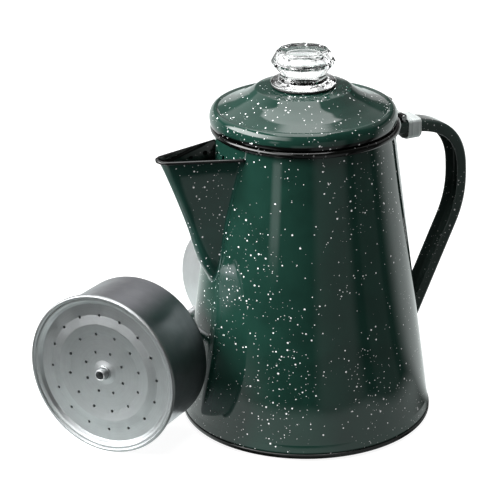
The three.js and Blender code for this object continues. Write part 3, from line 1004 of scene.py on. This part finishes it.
def glass_knob():
    """A hollow pressed-glass button: round foot and stem, faceted crown."""
    flange = KNOB_FLANGE_Z
    inside = [
        (0, 211.8),
        (9.0, 211.5, 3),
        (11.4, 209, 2),
        (9.4, 204.2, 4),
        (8.6, 199, 4),
        (8.2, KNOB_FOOT_Z, 0.5),
    ]
    outer = [
        (10.8, KNOB_FOOT_Z, 0.5),
        (10.8, flange, 0.4),
        (KNOB_FLANGE_R - 0.3, flange, 0.5),
        (KNOB_FLANGE_R, flange + 1.5, 0.7),
        (KNOB_FLANGE_R - 1.1, flange + 2.1, 0.5),
        (KNOB_NECK_R + 1.1, flange + 2.4, 1.0),
        (KNOB_NECK_R - 0.2, flange + 4.2, 1.6),
        (KNOB_NECK_R + 0.2, 203.2, 1.2),
        (KNOB_CROWN_R, 208.2, 0.35),
        (KNOB_CROWN_R, 209.5, 0.35),
        (14.7, KNOB_TOP_Z - 0.5, 0.35),
        (13.9, KNOB_TOP_Z, 0.4),
        (12.6, KNOB_TOP_Z - 0.1, 0.6),
        (9, KNOB_TOP_Z - 1.5, 4),
        (0, KNOB_TOP_Z - 1.9),
    ]
    outline = rounded(inside + outer, 5)
    segments = KNOB_FACETS * 12
    vertices, faces = [], []
    count = len(outline)
    for i in range(segments):
        a = 2 * math.pi * i / segments
        for r, z in outline:
            reach = knob_radius(r, z, a)
            vertices.append((reach * math.cos(a), reach * math.sin(a), z))
    for i in range(segments):
        here = i * count
        after = (i + 1) % segments * count
        faces += [(here + k, after + k, after + k + 1, here + k + 1) for k in range(count - 1)]
    obj = piece("glass_knob", vertices, faces, 24)
    combine(obj, pair_of_blocks(10, 13.2, 3, KNOB_LUG_Z, 3.3, math.pi / 2), "UNION", 24)
    on_lid_axis(obj)
    return dress(obj, GLASS, "knob", ["glass_knob"])


# ---------------------------------------------------------------- pump


def hole_rods(height, r):
    """Cutters for the rings of holes that the basket and the spreader share."""
    rods = []
    for ring, count, start in HOLE_RINGS:
        for i in range(count):
            a = start + 2 * math.pi * i / count
            rods.append(rod("hole", r, 8, (ring * math.cos(a), ring * math.sin(a), height), segments=20))
    return merge(*rods)


def pump_tube():
    outline = rounded(
        [
            (TUBE_BORE_R, 80),
            (TUBE_BORE_R, TUBE_FOOT, 0.2),
            (TUBE_R, TUBE_FOOT, 0.2),
            (TUBE_R, TUBE_TOP, 0.25),
            (TUBE_BORE_R, TUBE_TOP, 0.25),
            (TUBE_BORE_R, 80),
        ],
        4,
    )
    obj = lay_down(lathe("pump_tube", outline[:-1], 64))
    return dress(obj, SATIN, "pump", ["pump_tube"])


def pump_foot():
    m = ALUMINIUM / 2
    r = TUBE_R + 0.15 + m
    slope = [(9, 11.6, 12), (22, 7.6, 20), (36, 3.4, 8), (FOOT_R - 1.6, 2.6, 1)]
    line = rounded([(r, 22), (r, 14.5, 3), *slope], 8)
    line = line[:-1] + arc(FOOT_R - 1.2, 1.2, 1.2 - m, 100, -140, 12)
    obj = lathe("pump_foot", sheet(line, ALUMINIUM), 160)
    inlets = []
    for turn in (45, 135, 225, 315):
        a = math.radians(turn)
        inlets.append(rod("inlet", 1.6, 12, (33 * math.cos(a), 33 * math.sin(a), 4)))
    combine(obj, merge(*inlets), "DIFFERENCE")
    lay_down(obj)
    return dress(obj, SATIN, "pump", ["pump_foot"])


def basket_stop():
    low, high = 116.4, 118
    corners = [(5.2, low, 0.3), (5.2, high, 0.3), (3.4, high, 0.2), (3.4, low, 0.2)]
    ring = rounded([(4.4, low), *corners, (4.4, low)], 4)
    obj = lay_down(lathe("basket_stop", ring[:-1], 48))
    return dress(obj, SATIN, "pump", ["basket_stop"])


def basket_sleeve():
    m = 0.3
    r = TUBE_R + 0.3 + m
    low = 118.3 + m
    line = rounded([(7, low), (r, low, 1), (r, SPREADER - 3.4)], 6)
    obj = lay_down(lathe("basket_sleeve", sheet(line, 2 * m), 64))
    return dress(obj, SATIN, "basket", ["basket_sleeve"])


def basket_cup():
    m = ALUMINIUM / 2
    line = rounded(
        [
            (TUBE_R + 1.2, BASKET_FLOOR),
            (BASKET_R - m, BASKET_FLOOR, 3.4),
            (BASKET_R + 0.3 - m, BASKET_RIM - 2.4, 2),
            (BASKET_RIM_R - 1 + m, BASKET_RIM),
        ],
        10,
    )[:-1]
    line += arc(BASKET_RIM_R, BASKET_RIM, 1 - m, 180, -110, 14)
    obj = lathe("basket_cup", sheet(line, ALUMINIUM), 200)
    combine(obj, hole_rods(BASKET_FLOOR, 0.85), "DIFFERENCE")
    lay_down(obj)
    return dress(obj, DRAWN_PAINTED_DARK, "basket", ["basket_cup"])


def spreader_plate():
    m = ALUMINIUM / 2
    z = SPREADER - m
    rim = SPREADER + 2.9
    line = rounded(
        [
            (TUBE_R + 0.25 + m, z + 1.1),
            (TUBE_R + 0.25 + m, z + 0.2, 0.5),
            (7, z - 0.5, 4),
            (22.4, z, 3),
            (28.6, z + 0.9, 2.2),
            (33.9, z, 2.2),
            (40.9, z, 1.1),
            (42.3, rim - 1.5, 0.6),
            (43.3, rim - 1.0, 0.5),
            (44.4, rim - 1.0, 0.4),
            (44.9, rim - 0.1, 0.5),
            (45.7, rim - 0.1, 0.5),
            (SPREADER_R - m, rim - 0.9, 0.4),
            (SPREADER_R - m, rim - 1.3),
        ],
        7,
    )
    obj = lathe("spreader_plate", sheet(line, ALUMINIUM), 200)
    combine(obj, hole_rods(SPREADER - 1, 0.82), "DIFFERENCE")
    lay_down(obj)
    return dress(obj, DULL, "spreader", ["spreader_plate"])


for make in (
    pot_body,
    base_pan,
    spout,
    handle,
    hinge_band,
    hinge_pin,
    lid_tongue,
    lid_shell,
    lid_skirt,
    knob_gasket,
    glass_knob,
    pump_tube,
    pump_foot,
    basket_stop,
    basket_sleeve,
    basket_cup,
    spreader_plate,
):
    make()


# ---------------------------------------------------------------- studio


def toward(azimuth, elevation):
    """The direction from the object to something at an azimuth and elevation in degrees."""
    a = math.radians(azimuth)
    e = math.radians(elevation)
    return Vector((math.sin(a) * math.cos(e), -math.cos(a) * math.cos(e), math.sin(e)))


def camera():
    """Stands where the photograph was taken from, by the fit of the object's outline to it."""
    azimuth = math.radians(CAMERA_AZIMUTH)
    roll = math.radians(CAMERA_ROLL)
    level = Vector((math.cos(azimuth), math.sin(azimuth), 0))
    back = toward(CAMERA_AZIMUTH, CAMERA_ELEVATION)
    above = back.cross(level)
    right = level * math.cos(roll) + above * math.sin(roll)
    up = above * math.cos(roll) - level * math.sin(roll)
    data = bpy.data.cameras.new("camera")
    data.lens = CAMERA_LENS
    data.sensor_width = 36
    data.clip_start = 0.05
    data.clip_end = 50
    obj = bpy.data.objects.new("camera", data)
    place = (Vector(CAMERA_TARGET) + back * CAMERA_DISTANCE) * MM
    obj.matrix_world = Matrix.Translation(place) @ Matrix((right, up, back)).transposed().to_4x4()
    bpy.context.scene.collection.objects.link(obj)
    bpy.context.scene.camera = obj


def seen_from_camera(shader, direction):
    """Turns world axes so that X points to the camera's right and Y away from it."""
    turn = shader.node("Mapping", {"Vector": direction, "Rotation": (0, 0, -math.radians(CAMERA_AZIMUTH))})
    return shader.node("SeparateXYZ", {"Vector": turn.outputs[0]}).outputs


def heading(shader, parts):
    """Degrees from the camera's side of the pot, growing to its right."""
    nearer = shader.times(parts["Y"], -1)
    return shader.times(shader.math("ARCTAN2", parts["X"], nearer), 180 / math.pi)


def backdrop(shader, angle):
    """1 in the white half of the room behind the pot, 0 on the camera's side."""
    right = shader.ramp(angle, 86, 112)
    left = shader.ramp(angle, -140, -100, 1, 0)
    return shader.brightest(left, right)


def floor():
    """A white table. Reflections see it end not far in front of the pot."""
    bottom = CAD_BOX[0].z - 0.00005
    half = 12
    corners = [(-half, -half, bottom), (half, -half, bottom), (half, half, bottom), (-half, half, bottom)]
    mesh = bpy.data.meshes.new("floor")
    mesh.from_pydata(corners, [], [(0, 1, 2, 3)])
    obj = bpy.data.objects.new("floor", mesh)
    bpy.context.scene.collection.objects.link(obj)
    obj.visible_diffuse = False
    material, shader = surface("floor")
    mesh.materials.append(material)
    parts = seen_from_camera(shader, shader.place)
    angle = heading(shader, parts)
    squares = [shader.times(parts[letter], parts[letter]) for letter in "XY"]
    distance = shader.math("SQRT", shader.math("ADD", *squares))
    incoming = shader.node("NewGeometry").outputs["Incoming"]
    slope = shader.node("SeparateXYZ", {"Vector": incoming}).outputs["Z"]
    # Reflected rays that arrive at a shallow slope see other patches than steep rays do.
    steep = shader.ramp(slope, 0.28, 0.42)
    reach = shader.math("ADD", distance, shader.ramp(angle, 40, 75, 0, 0.05))
    near = shader.times(shader.ramp(reach, 0.17, 0.235, 1, 0), shader.ramp(angle, -70, 20, 1.25, 0.8))
    low = shader.times(shader.ramp(distance, 0.2, 0.42, 0.8, 0), shader.ramp(angle, -60, -20, 1, 0))
    high = shader.times(shader.ramp(distance, 0.15, 0.27, 1.2, 0.12), shader.ramp(angle, -60, -30, 1, 0))
    under_spout = shader.times(
        shader.band(angle, -16, 12, 8),
        shader.ramp(distance, 0.2, 0.225, 0.2, 0.52),
        shader.ramp(slope, 0.575, 0.62, 1, 0.1),
    )
    shallow = shader.times(shader.brightest(near, low), shader.ramp(steep, 0, 1, 1, 0))
    deep = shader.times(shader.brightest(high, under_spout), steep)
    table = shader.math("ADD", shallow, deep)
    # Farther parts of the room, by their heading from the pot.
    strip = shader.times(shader.band(angle, 8, 48, 14), 0.38)
    side = shader.times(shader.band(angle, 58, 84, 8), 0.15)
    glow = shader.times(shader.band(angle, -41, -31, 6), shader.ramp(distance, 0.6, 1.1, 0, 1.6))
    behind = shader.times(backdrop(shader, angle), 1.05)
    light = shader.brightest(table, strip, side, glow, behind, 0.05)
    mirrored = shader.node("Emission", {"Color": (0.93, 1, 0.985, 1), "Strength": light}).outputs[0]
    shader.set(Base_Color=(0.3, 0.3, 0.3, 1), Roughness=1.0, Emission_Color=(1, 1, 1, 1))
    shader.set(Emission_Strength=0.91)
    seen = shader.node("LightPath").outputs["Is Glossy Ray"]
    both = shader.node("MixShader", {0: seen, 1: shader.surface.outputs[0], 2: mirrored})
    shader.links.new(both.outputs[0], shader.nodes["Material Output"].inputs["Surface"])


def room():
    """White behind the pot, dark on the camera's side, a panel overhead and a window, for reflections."""
    world = bpy.data.worlds.new("studio")
    bpy.context.scene.world = world
    bpy.context.scene.view_settings.view_transform = "Standard"
    shader = Shader(world, "Generated")
    parts = seen_from_camera(shader, shader.place)
    angle = heading(shader, parts)
    across, away, up = parts["X"], parts["Y"], parts["Z"]
    above = shader.times(
        shader.band(across, -0.42, 0.3, 0.05),
        shader.band(away, -0.5, 0.52, 0.06),
        shader.ramp(up, 0.4, 0.6),
        4.4,
    )
    window = shader.times(
        shader.band(angle, -108, -20, 14),
        shader.band(up, 0.2, 0.7, 0.08),
        shader.ramp(angle, -70, -25, 12, 3),
    )
    behind = shader.times(backdrop(shader, angle), shader.ramp(across, 0, 0.5, 0.95, 0.4))
    behind = shader.times(behind, shader.ramp(shader.band(up, 0.2, 0.42, 0.1), 0, 1, 1, 0.2))
    light = shader.brightest(above, window, behind, 0.05)
    through = shader.brightest(shader.ramp(away, -0.6, 0.3, 0.1, 0.85), 0.1)
    through = shader.times(through, shader.ramp(up, 0.1, 0.6, 1, 0.45))
    # The camera sees white, glass sees its own grey and rough surfaces an even light.
    path = shader.node("LightPath").outputs
    mirrored = path["Is Glossy Ray"]
    refracted = path["Is Transmission Ray"]
    other = shader.ramp(shader.math("ADD", mirrored, refracted), 0, 1, AMBIENT, 0)
    level = shader.math("ADD", shader.times(mirrored, light), shader.times(refracted, through))
    level = shader.math("ADD", level, other)
    level = shader.brightest(level, path["Is Camera Ray"])
    background = shader.nodes["Background"]
    shader.feed(background.inputs["Color"], (1, 1, 1, 1))
    shader.feed(background.inputs["Strength"], level)


def softbox(name, azimuth, elevation, distance, width, height, power):
    """A rectangular light aimed at the pot. Azimuth counts from the camera, to its right."""
    data = bpy.data.lights.new(name, "AREA")
    data.shape = "RECTANGLE"
    data.size = width
    data.size_y = height
    data.energy = power
    obj = bpy.data.objects.new(name, data)
    back = toward(azimuth + CAMERA_AZIMUTH, elevation)
    obj.location = Vector((0, 0, 0.1)) + back * distance
    obj.rotation_mode = "QUATERNION"
    obj.rotation_quaternion = (-back).to_track_quat("-Z", "Y")
    obj.visible_glossy = False
    obj.visible_transmission = False
    bpy.context.scene.collection.objects.link(obj)


def lights():
    softbox("key", -80, 27, 1.9, 0.9, 0.9, 84)
    softbox("overhead", -20, 80, 1.7, 0.9, 0.9, 22)


camera()
floor()
room()
lights()
